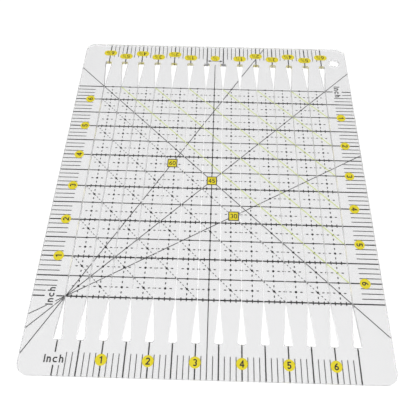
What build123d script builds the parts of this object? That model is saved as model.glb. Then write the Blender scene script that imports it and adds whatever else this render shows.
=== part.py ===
"""A slotted quilting ruler: one clear acrylic plate with guide slots for a rotary cutter.

The origin is the middle of the underside, with +Z up through the plate, +X to the right of the person
who reads the near scale and +Y away from them. Sizes are millimetres. The scales and lines are films of
ink on the back of the plate, so they lie against the cloth and are read through the acrylic.
"""
from build123d import *

import os
from math import atan2, cos, degrees, hypot, radians, sin, sqrt

inch = 25.4

# plate
plate_width = 8.0 * inch
plate_length = 10.0 * inch
plate_thickness = 2.5
plate_corner = 0.25 * inch
hole_diameter = 8.0
hole_side_inset = 0.35 * inch
hole_far_inset = 0.575 * inch

# cutting slots, one at each half inch across a square grid as large as the margins leave room for
half_inch = inch / 2
side_margin = 0.75 * inch
label_band = 0.75 * inch
fit_slack = 0.01
slit_width = 0.4
mouth_length = 1.0 * inch
mouth_width = 5.0
mouth_corner = 1.3

# print
ink = 0.05
edge_gap = 0.05
least_mark = 0.12
least_gap = 0.1
fine = 0.36
medium = 0.55
heavy = 0.66
guide_weight = 0.42
bias_weight = 0.6

# scales along the four edges
tick_length = 0.5 * inch
tick_weight = {"near": fine, "left": 0.46, "right": 0.46, "far": fine}
mark_weight = {"near": heavy, "left": 0.72, "right": 0.72, "far": heavy}
near_number_inset = 0.36 * inch
left_number_inset = 0.405 * inch
right_number_inset = 0.383 * inch
disc_diameter = 0.25 * inch
numeral_height = 0.152 * inch
numeral_stroke = 0.7
word_height = 0.165 * inch
word_stroke = 0.66
word_clear_width = 0.46 * inch
word_clear_height = 0.27 * inch

# strip widths along the far edge
pill_width = 0.39 * inch
half_pill_width = 0.285 * inch
pill_height = 0.22 * inch
upper_pill_inset = 0.33 * inch
lower_pill_inset = 0.46 * inch
pill_numeral_height = 0.15 * inch
pill_numeral_stroke = 0.55
fraction_stroke = 0.32
fraction_slash = 0.25
arrow_inset = 0.582 * inch
arrow_head_length = 0.09 * inch
arrow_head_height = 0.07 * inch

# grid details
inch_line_weight = 0.78
cross_tick_weight = 0.6
cross_tick_height = 0.085 * inch
dot_diameter = 0.052 * inch
badge_size = 0.262 * inch
badge_border = 0.55
badge_numeral_height = 0.13 * inch
badge_numeral_stroke = 0.52
badge_reach = {30: 4.41, 45: 4.596, 60: 4.37}

# what follows from the sizes above
eighth = half_inch / 4
room = min(plate_width - 2 * side_margin, plate_length - 2 * (mouth_length + label_band))
inches = int((room - half_inch + fit_slack) / inch)
cells = 2 * inches + 1
grid = cells * half_inch
corner = -grid / 2
near_edge = -plate_length / 2
far_edge = plate_length / 2
left_edge = -plate_width / 2
right_edge = plate_width / 2
mouth_end = grid / 2 + mouth_length
diagonal = 2 * sqrt(plate_width**2 + plate_length**2)
slot_spots = [(corner + n * half_inch, 0) for n in range(cells + 1)]


# ---------------------------------------------------------------- where marks go


def near(along, inset):
    """A place on the near scale, read from the near side."""
    return Location((corner + along, near_edge + inset), 0)


def left(along, inset):
    """A place on the left scale, whose figures stand with their heads to the left."""
    return Location((left_edge + inset, corner + along), 90)


def right(along, inset):
    """A place on the right scale, which counts from the far end with heads to the right."""
    return Location((right_edge - inset, -corner - along), -90)


def far(along, inset):
    """A place on the far scale, whose figures are read from the far side."""
    return Location((corner + along, far_edge - inset), 180)


def in_grid(x, y):
    """A place on the grid, in inches from its near left corner."""
    return corner + x * inch, corner + y * inch


# ---------------------------------------------------------------- figures


def bar(start, end, stroke):
    """A straight stroke with square ends, added to the sketch that is open."""
    (x0, y0), (x1, y1) = start, end
    turn = degrees(atan2(y1 - y0, x1 - x0))
    with Locations(Location(((x0 + x1) / 2, (y0 + y1) / 2), turn)):
        Rectangle(hypot(x1 - x0, y1 - y0), stroke)


def bow(centre, radius, start, sweep, stroke):
    """A stroke along part of a circle, added to the sketch that is open."""
    with BuildLine() as band:
        outer = CenterArc(centre, radius + stroke / 2, start, sweep)
        inner = CenterArc(centre, radius - stroke / 2, start, sweep)
        Line(outer @ 0, inner @ 0)
        Line(outer @ 1, inner @ 1)
    make_face(band.edges())


def zero(h, t):
    w = 0.62 * h
    SlotOverall(h, w, rotation=90)
    SlotOverall(h - 2 * t, w - 2 * t, rotation=90, mode=Mode.SUBTRACT)


def one(h, t):
    x = 0.08 * h
    bar((x, -h / 2), (x, h / 2), t)
    bar((x - 0.28 * h, h / 2 - 0.27 * h), (x, h / 2 - 0.36 * t), 0.85 * t)


def two(h, t):
    r = 0.31 * h - t / 2
    middle = h / 2 - t / 2 - r
    last = radians(-38)
    foot = -h / 2 + t / 2
    bow((0, middle), r, 168, -206, t)
    bar((r * cos(last), middle + r * sin(last)), (-0.2 * h, foot), t)
    bar((-0.31 * h, foot), (0.31 * h, foot), t)


def three(h, t):
    r = (h - t) / 4
    bow((0, r), r, 155, -245, t)
    bow((0, -r), r, 90, -245, t)


def four(h, t):
    x = 0.13 * h
    y = -0.19 * h
    bar((x, -h / 2), (x, h / 2), t)
    bar((-0.33 * h, y), (0.33 * h, y), t)
    bar((-0.27 * h, y), (x, h / 2 - 0.4 * t), 0.9 * t)


def five(h, t):
    r = 0.32 * h - t / 2
    x = -0.24 * h + t / 2
    bowl = -h / 2 + t / 2 + r
    bar((x - t / 2, h / 2 - t / 2), (0.28 * h, h / 2 - t / 2), t)
    bar((x, h / 2), (x, bowl + 0.35 * r), t)
    bow((-0.02 * h, bowl), r, 142, -292, t)


def six(h, t):
    r = 0.31 * h - t / 2
    bowl = -h / 2 + t / 2 + r
    sweep = radians(68)
    stem = (h / 2 - t / 2 - bowl) / sin(sweep)
    with Locations((0, bowl)):
        Circle(r + t / 2)
        Circle(r - t / 2, mode=Mode.SUBTRACT)
    bow((stem - r, bowl), stem, 180, -68, t)


digits = [zero, one, two, three, four, five, six]


def figure(digit, h, t):
    """One digit as a sketch about its middle."""
    with BuildSketch(mode=Mode.PRIVATE) as shape:
        digits[digit](h, t)
    return shape.sketch


def number(whole, h, t, half=False):
    """A whole number, with a half after it if asked, as a sketch about its middle."""
    whole_room = 0.72 * h if whole else 0
    half_room = 0.86 * h if half else 0
    whole_x = -half_room / 2
    half_x = whole_room / 2
    small = 0.52 * h
    pieces = []
    if whole:
        pieces.append(((whole_x, 0), figure(whole, h, t)))
    if half:
        pieces.append(((half_x - 0.24 * h, 0.24 * h), figure(1, small, fraction_stroke)))
        pieces.append(((half_x + 0.26 * h, -0.24 * h), figure(2, small, fraction_stroke)))
    with BuildSketch(mode=Mode.PRIVATE) as shape:
        for place, piece in pieces:
            with Locations(place):
                add(piece)
        if half:
            bar((half_x - 0.24 * h, -0.48 * h), (half_x + 0.22 * h, 0.48 * h), fraction_slash)
    return shape.sketch


def badge_number(angle, h, t):
    """Two digits side by side as a sketch about their middle."""
    tens, units = figure(angle // 10, h, t), figure(angle % 10, h, t)
    with BuildSketch(mode=Mode.PRIVATE) as shape:
        with Locations((-0.36 * h, 0)):
            add(tens)
        with Locations((0.36 * h, 0)):
            add(units)
    return shape.sketch


def arch(x, top, t):
    """The shoulder and right leg of an n whose left leg stands at x, up to top."""
    foot = -word_height / 2
    r = 0.27 * word_height - t / 2
    bow((x + r, top - t / 2 - r), r, 0, 160, t)
    bar((x + 2 * r, foot), (x + 2 * r, top - t / 2 - r), t)


def unit_word():
    """The word Inch as a sketch about its middle."""
    h, t = word_height, word_stroke
    foot, top = -h / 2, h / 2
    small = foot + 0.72 * h
    with BuildSketch(mode=Mode.PRIVATE) as word:
        bar((-1.22 * h, foot), (-1.22 * h, top), t)
        bar((-0.84 * h, foot), (-0.84 * h, small), t)
        arch(-0.84 * h, small, t)
        bow((0.21 * h, foot + 0.36 * h), 0.36 * h - t / 2, 48, 264, t)
        bar((0.77 * h, foot), (0.77 * h, top), t)
        arch(0.77 * h, small, t)
    return word.sketch


# ---------------------------------------------------------------- the plate's outline


def slot_outline(grow):
    """The slots, each a narrow slit that widens to a mouth at both ends, grown all round."""
    half_slit = slit_width / 2 + grow
    half_mouth = mouth_width / 2 + grow
    end = mouth_end + grow
    with BuildSketch(mode=Mode.PRIVATE) as mouth:
        with BuildLine():
            Polyline(
                (-half_slit, grid / 2),
                (-half_mouth, end),
                (half_mouth, end),
                (half_slit, grid / 2),
                close=True,
            )
        make_face()
        fillet(mouth.vertices().group_by(Axis.Y)[-1], mouth_corner + grow)
    with BuildSketch(mode=Mode.PRIVATE) as slots:
        with Locations(*slot_spots):
            Rectangle(2 * half_slit, grid)
        for turn in (0, 180):
            with Locations(*[Location(spot, turn) for spot in slot_spots]):
                add(mouth.sketch)
    return slots.sketch


def plate_outline(inset):
    """The plate within its edge, slots and hanging hole, drawn back from each of them by inset."""
    slots = slot_outline(inset)
    with BuildSketch(mode=Mode.PRIVATE) as outline:
        RectangleRounded(plate_width - 2 * inset, plate_length - 2 * inset, plate_corner - inset)
        add(slots, mode=Mode.SUBTRACT)
        with Locations((right_edge - hole_side_inset, far_edge - hole_far_inset)):
            Circle(hole_diameter / 2 + inset, mode=Mode.SUBTRACT)
    return outline.sketch


printable = plate_outline(edge_gap)

films = {}


def film(name, sketch):
    """Makes the ink film of the marks in a sketch and keeps it under its name."""
    with BuildPart() as layer:
        extrude([face for face in sketch.faces() if face.area > least_mark], amount=ink)
    layer.part.label = name
    films[name] = layer.part


def printed(strokes, *kept_clear):
    """The marks that are left of some strokes on the plate, clear of other marks."""
    with BuildSketch(mode=Mode.PRIVATE) as marks:
        add(strokes)
        add(printable, mode=Mode.INTERSECT)
        for other in kept_clear:
            add(other, mode=Mode.SUBTRACT)
    return marks.sketch


# ---------------------------------------------------------------- yellow number discs and their figures

number_spots = {
    "near": [near(n * inch, near_number_inset) for n in range(1, inches + 1)],
    "left": [left(n * inch, left_number_inset) for n in range(1, inches + 1)],
    "right": [right(n * inch, right_number_inset) for n in range(1, inches + 1)],
}

for side, spots in number_spots.items():
    shapes = [number(n, numeral_height, numeral_stroke) for n in range(1, inches + 1)]
    with BuildSketch() as figures:
        for shape, spot in zip(shapes, spots):
            with Locations(spot):
                add(shape)
    with BuildSketch() as discs:
        with Locations(*spots):
            Circle(disc_diameter / 2)
        add(figures.sketch, mode=Mode.SUBTRACT)
    film(f"{side}_numerals", figures.sketch)
    film(f"{side}_number_discs", discs.sketch)

with BuildSketch() as all_discs:
    for spots in number_spots.values():
        with Locations(*spots):
            Circle(disc_diameter / 2)

# ---------------------------------------------------------------- the unit word at the start of three scales

word_spots = [near(0, near_number_inset), left(0, left_number_inset), right(0, right_number_inset)]
word_shape = unit_word()

with BuildSketch() as unit_words:
    with Locations(*word_spots):
        add(word_shape)
film("unit_words", unit_words.sketch)

with BuildSketch() as word_windows:
    with Locations(*word_spots):
        Rectangle(word_clear_width, word_clear_height)

# ---------------------------------------------------------------- strip width pills along the far edge

pill_spots = []
for step in range(inches):
    inset = lower_pill_inset if step % 2 else upper_pill_inset
    for along in (step * half_inch, grid - step * half_inch):
        pill_spots.append((inches - step, far(along, inset)))
half_pill_spot = far(grid / 2, lower_pill_inset)

shapes = [
    (number(whole, pill_numeral_height, pill_numeral_stroke, half=True), spot)
    for whole, spot in pill_spots + [(0, half_pill_spot)]
]
with BuildSketch() as pill_figures:
    for shape, spot in shapes:
        with Locations(spot):
            add(shape)
film("strip_width_numerals", pill_figures.sketch)

with BuildSketch() as pill_outlines:
    with Locations(*[spot for _, spot in pill_spots]):
        SlotOverall(pill_width, pill_height)
    with Locations(half_pill_spot):
        SlotOverall(half_pill_width, pill_height)

with BuildSketch() as pills:
    add(pill_outlines.sketch)
    add(pill_figures.sketch, mode=Mode.SUBTRACT)
film("strip_width_pills", pills.sketch)

# ---------------------------------------------------------------- the arrow that shows one half inch strip

arrow_reach = half_inch / 2 - heavy / 2 - least_gap
with BuildSketch() as arrow:
    with Locations(far(grid / 2, arrow_inset)):
        Rectangle(2 * (arrow_reach - arrow_head_length / 2), fine)
    for turn in (0, 180):
        with BuildLine(Plane(far(grid / 2, arrow_inset)).rotated((0, 0, turn))):
            Polyline(
                (arrow_reach, 0),
                (arrow_reach - arrow_head_length, arrow_head_height / 2),
                (arrow_reach - arrow_head_length, -arrow_head_height / 2),
                close=True,
            )
        make_face()
    add(pill_outlines.sketch, mode=Mode.SUBTRACT)
film("strip_width_arrow", arrow.sketch)

# ---------------------------------------------------------------- angle badges

badge_spots = {
    angle: in_grid(reach * cos(radians(angle)), reach * sin(radians(angle)))
    for angle, reach in badge_reach.items()
}

shapes = {
    angle: badge_number(angle, badge_numeral_height, badge_numeral_stroke)
    for angle in badge_spots
}
with BuildSketch() as badge_figures:
    for angle, spot in badge_spots.items():
        with Locations(spot):
            add(shapes[angle])
film("angle_badge_numerals", badge_figures.sketch)

with BuildSketch() as badge_faces:
    with Locations(*badge_spots.values()):
        Rectangle(badge_size - 2 * badge_border, badge_size - 2 * badge_border)
    add(badge_figures.sketch, mode=Mode.SUBTRACT)
film("angle_badge_faces", badge_faces.sketch)

with BuildSketch() as badge_borders:
    with Locations(*badge_spots.values()):
        Rectangle(badge_size, badge_size)
        Rectangle(
            badge_size - 2 * badge_border, badge_size - 2 * badge_border, mode=Mode.SUBTRACT
        )
film("angle_badge_borders", badge_borders.sketch)

with BuildSketch() as labels:
    add(all_discs.sketch)
    add(word_windows.sketch)
    add(pill_outlines.sketch)
    with Locations(*badge_spots.values()):
        Rectangle(badge_size, badge_size)

# ---------------------------------------------------------------- long guide lines across the whole plate

guides = []


def long_line(name, place, turn, weight):
    """A straight line right across the plate, clear of the labels and of the guides before it."""
    with BuildSketch() as line:
        with Locations(Location(place, turn)):
            Rectangle(diagonal, weight)
    marks = printed(line.sketch, labels.sketch, *guides)
    guides.append(marks)
    film(name, marks)


long_line("angle_line_45", in_grid(0, 0), 45, guide_weight)
long_line("angle_line_60", in_grid(0, 0), 60, guide_weight)
long_line("angle_line_30", in_grid(0, 0), 30, guide_weight)
long_line("square_corner_line", (0, 0), -45, guide_weight)

with BuildSketch() as centre_strip:
    with Locations((0, (near_edge + mouth_end) / 2)):
        Rectangle(guide_weight, mouth_end - near_edge)
centre_line = printed(centre_strip.sketch, labels.sketch, *guides)
film("centre_line", centre_line)
guides.append(centre_line)

# ---------------------------------------------------------------- scale ticks and half inch marks

sides = {"near": near, "left": left, "right": right, "far": far}
end_mark = plate_length / 2 - mouth_end
side_mark = plate_width / 2 - grid / 2 - slit_width / 2
mark_length = {"near": end_mark, "left": side_mark, "right": side_mark, "far": end_mark}
tick_counts = [n for n in range(4 * cells) if n % 4]

for side, place in sides.items():
    with BuildSketch() as ticks:
        with Locations(*[place(n * eighth, tick_length / 2) for n in tick_counts]):
            Rectangle(tick_weight[side], tick_length)
    film(f"{side}_eighth_inch_ticks", printed(ticks.sketch, labels.sketch, *guides))
    length = mark_length[side]
    with BuildSketch() as marks:
        with Locations(*[place(n * half_inch, length / 2) for n in range(cells + 1)]):
            Rectangle(mark_weight[side], length)
    film(f"{side}_half_inch_marks", printed(marks.sketch, labels.sketch, *guides))

# ---------------------------------------------------------------- grid lines between the slots

cell_width = half_inch - slit_width

with BuildSketch() as inch_strokes:
    with GridLocations(half_inch, inch, cells, inches + 1):
        with Locations((0, -half_inch / 2)):
            Rectangle(cell_width, inch_line_weight)
            with GridLocations(eighth, 0, 3, 1):
                Rectangle(cross_tick_weight, cross_tick_height)
inch_lines = printed(inch_strokes.sketch, labels.sketch, *guides)
film("inch_lines", inch_lines)

with BuildSketch() as half_inch_strokes:
    with GridLocations(half_inch, inch, cells, inches + 1):
        with Locations((0, half_inch / 2)):
            Rectangle(cell_width, medium)
            Circle(dot_diameter / 2)
half_inch_lines = printed(half_inch_strokes.sketch, labels.sketch, *guides)
film("half_inch_lines", half_inch_lines)

# ---------------------------------------------------------------- pale bias lines in the far right half of the grid

with BuildSketch() as bias_strokes:
    for n in range(1, inches + 1):
        reach = (grid + half_inch - n * inch) / 2
        with Locations(Location((grid / 2 - reach, grid / 2 - reach), -45)):
            Rectangle(2 * sqrt(2) * reach, bias_weight)
    with BuildSketch(mode=Mode.INTERSECT):
        Rectangle(grid, grid)
film(
    "bias_lines",
    printed(bias_strokes.sketch, labels.sketch, *guides, inch_lines, half_inch_lines),
)

# ---------------------------------------------------------------- the clear plate that carries the print

with BuildPart() as acrylic_plate:
    with BuildSketch(Plane.XY.offset(ink)):
        add(plate_outline(0))
    extrude(amount=plate_thickness)
acrylic_plate.part.label = "acrylic_plate"

os.makedirs("parts", exist_ok=True)
export_step(acrylic_plate.part, "parts/acrylic_plate.step")
for name, part in films.items():
    export_step(part, f"parts/{name}.step")
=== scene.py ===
from math import atan, cos, pi, radians, sin, tan

import bpy
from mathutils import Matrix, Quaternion, Vector


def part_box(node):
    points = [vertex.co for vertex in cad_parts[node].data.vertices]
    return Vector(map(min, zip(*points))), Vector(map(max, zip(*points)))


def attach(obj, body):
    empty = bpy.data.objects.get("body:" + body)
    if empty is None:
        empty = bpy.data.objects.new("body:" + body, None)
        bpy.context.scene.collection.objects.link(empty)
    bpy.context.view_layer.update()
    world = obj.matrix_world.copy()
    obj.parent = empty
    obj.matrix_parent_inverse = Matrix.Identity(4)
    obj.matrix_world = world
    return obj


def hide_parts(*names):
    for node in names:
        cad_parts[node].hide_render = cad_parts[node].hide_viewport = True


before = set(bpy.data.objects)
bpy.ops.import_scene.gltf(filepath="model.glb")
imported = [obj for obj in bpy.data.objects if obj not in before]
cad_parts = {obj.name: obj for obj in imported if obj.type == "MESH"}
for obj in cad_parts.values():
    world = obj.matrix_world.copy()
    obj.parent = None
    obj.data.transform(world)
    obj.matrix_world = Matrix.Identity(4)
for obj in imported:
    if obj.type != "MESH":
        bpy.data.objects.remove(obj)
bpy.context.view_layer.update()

# ---------------------------------------------------------------- acrylic plate
# The plate is clear cast acrylic, cut by laser with its guide slots and its hanging hole in one pass.
# Its two faces keep the sheet's polish, the cut walls are duller, and every edge is eased a little.
# It reaches a little past the top of the print, because the ink is bonded to its back with no air between.

mm = 0.001
inch = 25.4 * mm
half_inch = inch / 2
grid_size = 6.5 * inch
slot_count = 14
slit_width = 0.4 * mm
mouth_length = 1.0 * inch
mouth_width = 5.0 * mm
mouth_corner = 1.3 * mm
plate_corner = 0.25 * inch
hole_radius = 4.0 * mm
hole_side_inset = 0.35 * inch
hole_far_inset = 0.575 * inch
ink_bond = 0.02 * mm
eased_edge = 0.15 * mm
plate_corner_steps = 16
mouth_corner_steps = 6
hole_steps = 64
eased_edge_steps = 2
eased_above = radians(40)
smooth_below = radians(20)

plate_low, plate_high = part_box("acrylic_plate")
plate_bottom = plate_low.z - ink_bond
plate_middle = (plate_bottom + plate_high.z) / 2
plate_depth = plate_high.z - plate_bottom
cutter_depth = 3 * plate_depth


def put_down():
    """Leaves edit mode and selects nothing."""
    if bpy.context.mode != "OBJECT":
        bpy.ops.object.mode_set(mode="OBJECT")
    bpy.ops.object.select_all(action="DESELECT")


def block(name, middle, size):
    """A block of material ready to be shaped, in edit mode, with nothing else selected."""
    put_down()
    bpy.ops.mesh.primitive_cube_add(size=1, location=middle, scale=size)
    bpy.ops.object.transform_apply(location=True, rotation=True, scale=True)
    made = bpy.context.active_object
    made.name = made.data.name = name
    bpy.ops.object.mode_set(mode="EDIT")
    return made


def choose(piece, kind, wanted):
    """Selects the edges or faces of a piece whose middle and direction, or normal, are wanted."""
    bpy.ops.object.mode_set(mode="OBJECT")
    mesh = piece.data
    for part in (*mesh.vertices, *mesh.edges, *mesh.polygons):
        part.select = False
    bpy.context.tool_settings.mesh_select_mode = (False, kind == "edges", kind == "faces")
    if kind == "edges":
        for edge in mesh.edges:
            start, end = (mesh.vertices[v].co for v in edge.vertices)
            edge.select = wanted((start + end) / 2, (end - start).normalized())
    else:
        for face in mesh.polygons:
            face.select = wanted(face.center, face.normal)
    bpy.ops.object.mode_set(mode="EDIT")


def upright(middle, direction):
    """Whether an edge stands along Z."""
    return abs(direction.z) > 0.9


def only(piece):
    """Leaves edit mode with this piece alone selected and active."""
    put_down()
    piece.select_set(True)
    bpy.context.view_layer.objects.active = piece


def modified(piece, kind, **settings):
    """Adds a modifier to a piece and applies it."""
    only(piece)
    step = piece.modifiers.new(kind.lower(), kind)
    for name, value in settings.items():
        setattr(step, name, value)
    bpy.ops.object.modifier_apply(modifier=step.name)


def repeated(piece, count, step):
    """Lays out copies of what is in a piece at an even step."""
    modified(
        piece,
        "ARRAY",
        count=count,
        use_relative_offset=False,
        use_constant_offset=True,
        constant_offset_displace=step,
    )


# a blank with round corners
plate = block(
    "clear_plate",
    ((plate_low.x + plate_high.x) / 2, (plate_low.y + plate_high.y) / 2, plate_middle),
    (plate_high.x - plate_low.x, plate_high.y - plate_low.y, plate_depth),
)
choose(plate, "edges", upright)
bpy.ops.mesh.bevel(offset=plate_corner, segments=plate_corner_steps, affect="EDGES")

# one slot, from the slit out to a mouth at each end
first_slot = -grid_size / 2
mouth_middle = grid_size / 2 + mouth_length / 2
mouth_end = grid_size / 2 + mouth_length
mouth_taper = atan((mouth_width - slit_width) / 2 / mouth_length)
cutter = block("slot_cutter", (first_slot, 0, plate_middle), (slit_width, grid_size, cutter_depth))
for way in (1, -1):
    choose(cutter, "faces", lambda middle, normal: normal.y * way > 0.9)
    bpy.ops.mesh.extrude_region_move(TRANSFORM_OT_translate={"value": (0, way * mouth_length, 0)})
    bpy.ops.transform.resize(
        value=(mouth_width / slit_width, 1, 1),
        center_override=(first_slot, way * mouth_end, plate_middle),
    )
choose(
    cutter,
    "edges",
    lambda middle, direction: upright(middle, direction) and abs(middle.y) > mouth_middle,
)
bpy.ops.mesh.bevel(
    offset=mouth_corner / tan((pi / 2 - mouth_taper) / 2),
    segments=mouth_corner_steps,
    affect="EDGES",
)
repeated(cutter, slot_count, (half_inch, 0, 0))

# the hanging hole
put_down()
bpy.ops.mesh.primitive_cylinder_add(
    vertices=hole_steps,
    radius=hole_radius,
    depth=cutter_depth,
    location=(plate_high.x - hole_side_inset, plate_high.y - hole_far_inset, plate_middle),
)
hole_cutter = bpy.context.active_object

for tool in (cutter, hole_cutter):
    modified(plate, "BOOLEAN", operation="DIFFERENCE", object=tool, solver="EXACT")
    bpy.data.objects.remove(tool)
modified(
    plate,
    "BEVEL",
    width=eased_edge,
    segments=eased_edge_steps,
    limit_method="ANGLE",
    angle_limit=eased_above,
)
only(plate)
bpy.ops.object.shade_smooth_by_angle(angle=smooth_below)


class Recipe:
    """One value in the recipe of a finish: a socket, with arithmetic that adds the nodes it needs."""

    def __init__(self, tree, socket=None):
        self.tree = tree
        self.socket = socket

    def add(self, kind, settings=None, inputs=None, out=0):
        """Adds a node, gives it its settings and then its inputs, and returns one of its outputs."""
        node = self.tree.nodes.new(kind)
        for name, value in (settings or {}).items():
            setattr(node, name, value)
        for name, value in (inputs or {}).items():
            if isinstance(value, Recipe):
                self.tree.links.new(value.socket, node.inputs[name])
            else:
                node.inputs[name].default_value = value
        return Recipe(self.tree, node.outputs[out] if node.outputs else None)

    def maths(self, operation, *values):
        return self.add("ShaderNodeMath", {"operation": operation}, dict(enumerate(values)))

    def __add__(self, other):
        return self.maths("ADD", self, other)

    def __mul__(self, other):
        return self.maths("MULTIPLY", self, other)

    __radd__ = __add__
    __rmul__ = __mul__

    def blend(self, first, second):
        """The first colour where this value is 0, the second where it is 1."""
        colours = {"Factor": self, 6: first, 7: second}
        return self.add("ShaderNodeMix", {"data_type": "RGBA"}, colours, out=2)


def new_finish(name):
    """A material with nothing in it, the start of its recipe, and where the recipe is on a piece."""
    made = bpy.data.materials.new(name)
    made.use_nodes = True
    made.node_tree.nodes.clear()
    start = Recipe(made.node_tree)
    return made, start, start.add("ShaderNodeTexCoord", out="Object")


cast_shade = (0.985, 0.985, 0.985, 1)


def acrylic(name, tint, roughness_low, roughness_spread, grain_scale, grain_stretch, bump_depth):
    """Clear acrylic with a grain of its own, in the tint that is seen through it.

    Light on its way to other pieces goes straight through and only takes the cast shade. Without
    this, light under the plate is counted twice.
    """
    made, start, place = new_finish(name)
    stretched = start.add("ShaderNodeMapping", inputs={"Vector": place, "Scale": grain_stretch})
    grain = start.add(
        "ShaderNodeTexNoise", inputs={"Vector": stretched, "Scale": grain_scale, "Detail": 3.0}
    )
    relief = start.add(
        "ShaderNodeBump", inputs={"Height": grain, "Strength": 0.3, "Distance": bump_depth}
    )
    solid = start.add(
        "ShaderNodeBsdfPrincipled",
        inputs={
            "Base Color": tint,
            "Roughness": roughness_low + roughness_spread * grain,
            "IOR": 1.49,
            "Transmission Weight": 1.0,
            "Normal": relief,
        },
    )
    lit_through = start.add("ShaderNodeBsdfTransparent", inputs={"Color": cast_shade})
    mixed = solid
    for ray in ("Is Shadow Ray", "Is Diffuse Ray"):
        lighting = start.add("ShaderNodeLightPath", out=ray)
        mixed = start.add("ShaderNodeMixShader", inputs={0: lighting, 1: mixed, 2: lit_through})
    start.add("ShaderNodeOutputMaterial", inputs={"Surface": mixed})
    return made


polished_face = acrylic(
    "polished_acrylic",
    tint=(0.825, 0.825, 0.83, 1),
    roughness_low=0.01,
    roughness_spread=0.03,
    grain_scale=60.0,
    grain_stretch=(1, 1, 1),
    bump_depth=0.002 * mm,
)
cut_wall = acrylic(
    "laser_cut_acrylic",
    tint=(0.96, 0.96, 0.965, 1),
    roughness_low=0.45,
    roughness_spread=0.35,
    grain_scale=3000.0,
    grain_stretch=(1, 1, 0.05),
    bump_depth=0.01 * mm,
)
plate.data.materials.append(polished_face)
plate.data.materials.append(cut_wall)
choose(plate, "faces", lambda middle, normal: abs(normal.z) < 0.5)
plate.active_material_index = 1
bpy.ops.object.material_slot_assign()
only(plate)

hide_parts("acrylic_plate")
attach(plate, "root")

# ---------------------------------------------------------------- black print
# The scales, grid, guide lines, figures and words are one pass of black screen ink on the plate's back.
# A screen leaves a faint weave in the film and a slightly uneven depth of colour.


patch_share = 0.65
weave_share = 0.35
weave_depth = 0.01 * mm
ink_roughness = 0.32
ink_roughness_spread = 0.28


def screen_ink(name, deep, thin, patch_scale, weave_scale):
    """Screen-printed ink whose colour runs between a deep and a thin coat."""
    made, start, place = new_finish(name)
    patches = start.add(
        "ShaderNodeTexNoise", inputs={"Vector": place, "Scale": patch_scale, "Detail": 4.0}
    )
    weave = start.add(
        "ShaderNodeTexNoise", inputs={"Vector": place, "Scale": weave_scale, "Detail": 2.0}
    )
    thinness = patch_share * patches + weave_share * weave
    relief = start.add(
        "ShaderNodeBump", inputs={"Height": weave, "Strength": 0.4, "Distance": weave_depth}
    )
    coat = start.add(
        "ShaderNodeBsdfPrincipled",
        inputs={
            "Base Color": thinness.blend(deep, thin),
            "Roughness": ink_roughness + ink_roughness_spread * thinness,
            "Normal": relief,
        },
    )
    start.add("ShaderNodeOutputMaterial", inputs={"Surface": coat})
    return made


def printed_in(ink, *words):
    """Gives an ink to every printed film with one of these words in its name."""
    for name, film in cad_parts.items():
        if any(word in name for word in words):
            film.data.materials.clear()
            film.data.materials.append(ink)


black_ink = screen_ink(
    "black_ink",
    deep=(0.004, 0.0035, 0.004, 1),
    thin=(0.012, 0.011, 0.012, 1),
    patch_scale=700.0,
    weave_scale=6000.0,
)
printed_in(black_ink, "_ticks", "_marks", "_numerals", "_words", "_arrow", "_borders")
printed_in(black_ink, "inch_lines", "centre_line", "square_corner_line", "angle_line")

# ---------------------------------------------------------------- small grid marks
# The same black pass prints a dot in the middle of each half inch square, short dashes along the square's
# middle lines, pairs of dashes beside every second slot, and dashed bias lines over the near left half.
# They all stop short of the slots.

mark_bottom = 0.005 * mm
mark_top = 0.04 * mm
mark_middle = (mark_bottom + mark_top) / 2
mark_depth = mark_top - mark_bottom
dash_length = 1.35 * mm
dash_width = 0.56 * mm
dot_size = 1.45 * mm
slot_dash_length = 0.75 * mm
slot_dash_gap = 0.05 * mm
bias_dash_length = 1.1 * mm
bias_dash_width = 0.42 * mm
dash_rounding = dash_width / 3
dot_rounding = 0.49 * dot_size
slot_dash_rounding = slot_dash_length / 4
bias_dash_rounding = bias_dash_width / 2.1
mark_corner_steps = 3
quarter = half_inch / 2
eighth = half_inch / 4
sixteenth = half_inch / 8
bias_line_count = 6
dashes_per_inch = 16
grid_corner = -grid_size / 2
cells = slot_count - 1


def mark(name, x, y, length, width, rounding):
    """One small printed mark with rounded corners, its length along X and its width along Y."""
    made = block(name, (x, y, mark_middle), (length, width, mark_depth))
    choose(made, "edges", upright)
    bpy.ops.mesh.bevel(offset=rounding, segments=mark_corner_steps, affect="EDGES")
    only(made)
    return made


def printed_black(piece):
    """Gives a new piece of print the black ink and fixes it to the plate's body."""
    piece.data.materials.append(black_ink)
    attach(piece, "root")


cross_dashes = mark(
    "cross_dashes", grid_corner + eighth, grid_corner + quarter, dash_length, dash_width, dash_rounding
)
repeated(cross_dashes, 2 * cells, (quarter, 0, 0))
repeated(cross_dashes, cells, (0, half_inch, 0))
printed_black(cross_dashes)

upright_dashes = mark(
    "upright_dashes", grid_corner + quarter, grid_corner + eighth, dash_width, dash_length, dash_rounding
)
repeated(upright_dashes, cells, (half_inch, 0, 0))
repeated(upright_dashes, 2 * cells, (0, quarter, 0))
printed_black(upright_dashes)

cell_dots = mark(
    "cell_dots", grid_corner + quarter, grid_corner + quarter, dot_size, dot_size, dot_rounding
)
repeated(cell_dots, cells, (half_inch, 0, 0))
repeated(cell_dots, cells, (0, half_inch, 0))
printed_black(cell_dots)

slot_dashes = mark(
    "slot_dashes",
    grid_corner + inch - slit_width / 2 - slot_dash_gap - slot_dash_length / 2,
    grid_corner + quarter,
    slot_dash_length,
    dash_width,
    slot_dash_rounding,
)
repeated(slot_dashes, 2, (slit_width + 2 * slot_dash_gap + slot_dash_length, 0, 0))
repeated(slot_dashes, cells // 2, (inch, 0, 0))
repeated(slot_dashes, cells, (0, half_inch, 0))
printed_black(slot_dashes)

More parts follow.
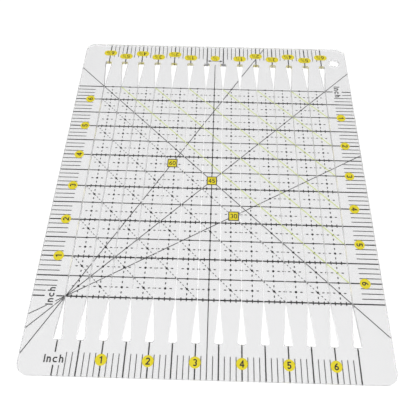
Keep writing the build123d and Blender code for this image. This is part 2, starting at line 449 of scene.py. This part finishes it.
# one dash turned to the bias, laid out along each line, and the lines joined
bias_dash = mark("bias_dashes", 0, 0, bias_dash_length, bias_dash_width, bias_dash_rounding)
bias_dash.data.transform(Quaternion((0, 0, 1), -pi / 4).to_matrix().to_4x4())
rows = []
for n in range(1, bias_line_count + 1):
    row = bias_dash.copy()
    row.data = bias_dash.data.copy()
    bpy.context.collection.objects.link(row)
    for vertex in row.data.vertices:
        vertex.co += Vector((grid_corner + sixteenth / 2, grid_corner + n * inch - sixteenth / 2, 0))
    repeated(row, dashes_per_inch * n, (sixteenth, -sixteenth, 0))
    rows.append(row)
only(rows[0])
for row in rows:
    row.select_set(True)
bpy.ops.object.join()
bias_dashes = bpy.context.active_object
bpy.data.objects.remove(bias_dash)
bias_dashes.name = bias_dashes.data.name = "bias_dashes"
printed_black(bias_dashes)

# ---------------------------------------------------------------- yellow print
# The number discs, strip width labels and angle badges are a second pass, in an opaque warm yellow.
# The figures are left open in it, so the black shows beside it and not through it.

yellow_ink = screen_ink(
    "yellow_ink",
    deep=(0.74, 0.61, 0.002, 1),
    thin=(0.82, 0.70, 0.006, 1),
    patch_scale=500.0,
    weave_scale=5000.0,
)
printed_in(yellow_ink, "_number_discs", "_width_pills", "_badge_faces")

# ---------------------------------------------------------------- pale green print
# The bias lines of the far right half are a third pass of screen ink on the plate's back.
# It is a pale yellow green put down thin, so its depth of colour wanders more than the black's.

lime_ink = screen_ink(
    "lime_ink",
    deep=(0.62, 0.72, 0.20, 1),
    thin=(0.74, 0.82, 0.36, 1),
    patch_scale=600.0,
    weave_scale=5000.0,
)
printed_in(lime_ink, "bias_lines")

# ---------------------------------------------------------------- floor, light and camera
# A plain white table under dim even light from all round, with large soft lamps at both sides and in front.

floor_drop = 0.1 * mm
table_size = 12.0
lamp_size = 3.0
side_watts = 88
near_watts = 66
world_light = 0.4

put_down()
bpy.ops.mesh.primitive_plane_add(size=table_size, location=(0, 0, -floor_drop))
floor = bpy.context.active_object
floor.name = "floor"
table_white, start, place = new_finish("table_white")
mottle = start.add("ShaderNodeTexNoise", inputs={"Vector": place, "Scale": 4.0})
white = mottle.blend((0.945, 0.945, 0.945, 1), (0.955, 0.955, 0.955, 1))
matt = start.add("ShaderNodeBsdfPrincipled", inputs={"Base Color": white, "Roughness": 0.9})
start.add("ShaderNodeOutputMaterial", inputs={"Surface": matt})
floor.data.materials.append(table_white)

world = bpy.data.worlds.new("studio")
bpy.context.scene.world = world
world.use_nodes = True
world.node_tree.nodes["Background"].inputs["Color"].default_value = (1, 1, 1, 1)
world.node_tree.nodes["Background"].inputs["Strength"].default_value = world_light


def soft_lamp(name, place, watts):
    """A large square lamp that faces the middle of the table."""
    lamp = bpy.data.lights.new(name, "AREA")
    lamp.shape = "SQUARE"
    lamp.size = lamp_size
    lamp.energy = watts
    stand = bpy.data.objects.new(name, lamp)
    stand.location = place
    stand.rotation_euler = (-stand.location).to_track_quat("-Z", "Y").to_euler()
    bpy.context.scene.collection.objects.link(stand)


soft_lamp("left_lamp", (-3.0, -0.8, 3.0), side_watts)
soft_lamp("right_lamp", (3.0, -0.8, 3.0), side_watts)
soft_lamp("near_lamp", (0, -3.8, 2.8), near_watts)

heading = radians(91.04)
tilt_down = radians(59.42)
roll = radians(0.63)
aim = Vector((-1.95, -20.9, 0.8)) * mm
distance = 308.6 * mm
look = Vector((cos(tilt_down) * cos(heading), cos(tilt_down) * sin(heading), -sin(tilt_down)))
lens = bpy.data.cameras.new("camera")
lens.lens = 41.63
lens.sensor_width = 36
lens.clip_start = 0.01
camera = bpy.data.objects.new("camera", lens)
camera.location = aim - look * distance
camera.rotation_mode = "QUATERNION"
camera.rotation_quaternion = look.to_track_quat("-Z", "Y") @ Quaternion((0, 0, 1), roll)
bpy.context.scene.collection.objects.link(camera)
bpy.context.scene.camera = camera
bpy.context.scene.view_settings.view_transform = "Standard"
